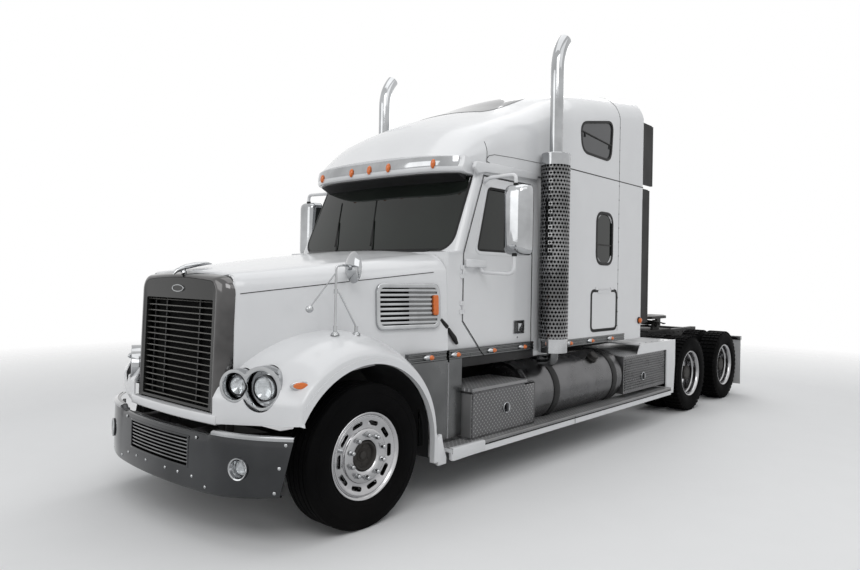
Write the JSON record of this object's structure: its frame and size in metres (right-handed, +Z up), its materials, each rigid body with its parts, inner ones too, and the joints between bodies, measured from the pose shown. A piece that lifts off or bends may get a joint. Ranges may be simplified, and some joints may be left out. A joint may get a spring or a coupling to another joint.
{
  "type": "semi truck tractor unit",
  "caption": "Long-nose road tractor unit with a raised-roof sleeper cab, twin drive axles and a fifth wheel coupling for pulling semi-trailers.",
  "frame": {"origin": "on the ground below the middle of the whole truck", "axes": "-Y forward, +X to the truck's left, +Z up"},
  "size_m": [3, 8.8, 4.1238],
  "materials": {
    "white_paint": "gloss",
    "chassis_black": "satin",
    "dark_steel": "satin",
    "chrome": "polished",
    "stainless": "brushed",
    "aluminium": "brushed",
    "tyre": "matte",
    "glass": "polished",
    "black_plastic": "matte",
    "seat_fabric": "matte",
    "rubber": "matte"
  },
  "bodies": {
    "chassis": {"frame_rails": "chassis_black", "suspension": "chassis_black", "front_axle": "chassis_black", "drive_axles": "chassis_black", "engine_block": "dark_steel", "radiator": "black_plastic", "fifth_wheel_base": "dark_steel", "fuel_tanks": "aluminium", "side_boxes": "aluminium", "side_fairings": "white_paint", "mudflaps": "rubber", "exhaust_stacks": "chrome", "front_bumper": "chrome", "cab_shell": "white_paint", "windshield": "glass", "sleeper_shell": "white_paint", "roof_cap": "white_paint", "sleeper_windows": "glass", "side_extenders": "black_plastic", "seats": "seat_fabric", "dashboard": "black_plastic", "steering_wheel": "black_plastic"},
    "hood": {"hood_shell": "white_paint", "grille_surround": "chrome", "grille_bars": "stainless", "headlamps": "chrome", "side_vents": "chrome", "hood_mirrors": "chrome"},
    "fifth_wheel": {"fifth_wheel_plate": "dark_steel"},
    "tie_rod": {"tie_rod": "chassis_black"},
    "knuckle_left": {"steering_knuckle_left": "chassis_black"},
    "front_wheel_left": {"front_wheel_left": "aluminium", "front_tyre_left": "tyre"},
    "door_left": {"door_left": "white_paint", "door_glass_left": "glass", "door_mirror_left": "chrome"},
    "luggage_door_left": {"luggage_door_left": "white_paint"},
    "toolbox_lid_left": {"toolbox_lid_left": "aluminium"},
    "dual_1_left": {"dual_wheels_1_left": "aluminium", "dual_tyres_1_left": "tyre"},
    "dual_2_left": {"dual_wheels_2_left": "aluminium", "dual_tyres_2_left": "tyre"},
    "knuckle_right": {"steering_knuckle_right": "chassis_black"},
    "front_wheel_right": {"front_wheel_right": "aluminium", "front_tyre_right": "tyre"},
    "door_right": {"door_right": "white_paint", "door_glass_right": "glass", "door_mirror_right": "chrome"},
    "luggage_door_right": {"luggage_door_right": "white_paint"},
    "toolbox_lid_right": {"toolbox_lid_right": "aluminium"},
    "dual_1_right": {"dual_wheels_1_right": "aluminium", "dual_tyres_1_right": "tyre"},
    "dual_2_right": {"dual_wheels_2_right": "aluminium", "dual_tyres_2_right": "tyre"}
  },
  "joints": [
    {"name": "hood_tilt", "type": "hinge", "parent": "chassis", "child": "hood", "pos_m": [0, -4.315, 0.62], "axis": [1, 0, 0], "range_deg": [0, 60]},
    {"name": "fifth_wheel_tilt", "type": "hinge", "parent": "chassis", "child": "fifth_wheel", "pos_m": [0, 2.9, 1.12], "axis": [1, 0, 0], "range_deg": [-8, 8]},
    {"name": "steer_left", "type": "hinge", "parent": "chassis", "child": "knuckle_left", "pos_m": [0.875, -3.5, 0.503], "axis": [0, 0, 1], "range_deg": [-35, 35]},
    {"name": "spin_front_left", "type": "hinge", "parent": "knuckle_left", "child": "front_wheel_left", "pos_m": [1.073, -3.5, 0.503], "axis": [-1, 0, 0], "continuous": true},
    {"name": "spin_dual_1_left", "type": "hinge", "parent": "chassis", "child": "dual_1_left", "pos_m": [0.904, 2.3, 0.503], "axis": [-1, 0, 0], "continuous": true},
    {"name": "spin_dual_2_left", "type": "hinge", "parent": "chassis", "child": "dual_2_left", "pos_m": [0.904, 3.62, 0.503], "axis": [-1, 0, 0], "continuous": true},
    {"name": "door_hinge_left", "type": "hinge", "parent": "chassis", "child": "door_left", "pos_m": [1.065, -2.358, 1.9], "axis": [0, 0, -1], "range_deg": [0, 70]},
    {"name": "luggage_hinge_left", "type": "hinge", "parent": "chassis", "child": "luggage_door_left", "pos_m": [1.097, 0.025, 1.641], "axis": [0, -1, 0], "range_deg": [0, 90]},
    {"name": "toolbox_hinge_left", "type": "hinge", "parent": "chassis", "child": "toolbox_lid_left", "pos_m": [0.751, -2, 0.809], "axis": [0, -1, 0], "range_deg": [0, 26]},
    {"name": "steer_right", "type": "hinge", "parent": "chassis", "child": "knuckle_right", "pos_m": [-0.875, -3.5, 0.503], "axis": [0, 0, 1], "range_deg": [-35, 35]},
    {"name": "spin_front_right", "type": "hinge", "parent": "knuckle_right", "child": "front_wheel_right", "pos_m": [-1.073, -3.5, 0.503], "axis": [-1, 0, 0], "continuous": true},
    {"name": "spin_dual_1_right", "type": "hinge", "parent": "chassis", "child": "dual_1_right", "pos_m": [-0.904, 2.3, 0.503], "axis": [-1, 0, 0], "continuous": true},
    {"name": "spin_dual_2_right", "type": "hinge", "parent": "chassis", "child": "dual_2_right", "pos_m": [-0.904, 3.62, 0.503], "axis": [-1, 0, 0], "continuous": true},
    {"name": "door_hinge_right", "type": "hinge", "parent": "chassis", "child": "door_right", "pos_m": [-1.065, -2.358, 1.9], "axis": [0, 0, 1], "range_deg": [0, 70]},
    {"name": "luggage_hinge_right", "type": "hinge", "parent": "chassis", "child": "luggage_door_right", "pos_m": [-1.097, 0.025, 1.641], "axis": [0, 1, 0], "range_deg": [0, 90]},
    {"name": "toolbox_hinge_right", "type": "hinge", "parent": "chassis", "child": "toolbox_lid_right", "pos_m": [-0.751, -2, 0.809], "axis": [0, 1, 0], "range_deg": [0, 26]},
    {"name": "tie_rod_hinge", "type": "hinge", "parent": "knuckle_left", "child": "tie_rod", "pos_m": [0.875, -3.32, 0.378], "axis": [0, 0, 1], "range_deg": [-35, 35]}
  ],
  "couplings": [
    {"joint": "steer_right", "follows": "steer_left", "ratio": 1},
    {"joint": "tie_rod_hinge", "follows": "steer_left", "ratio": -1}
  ]
}
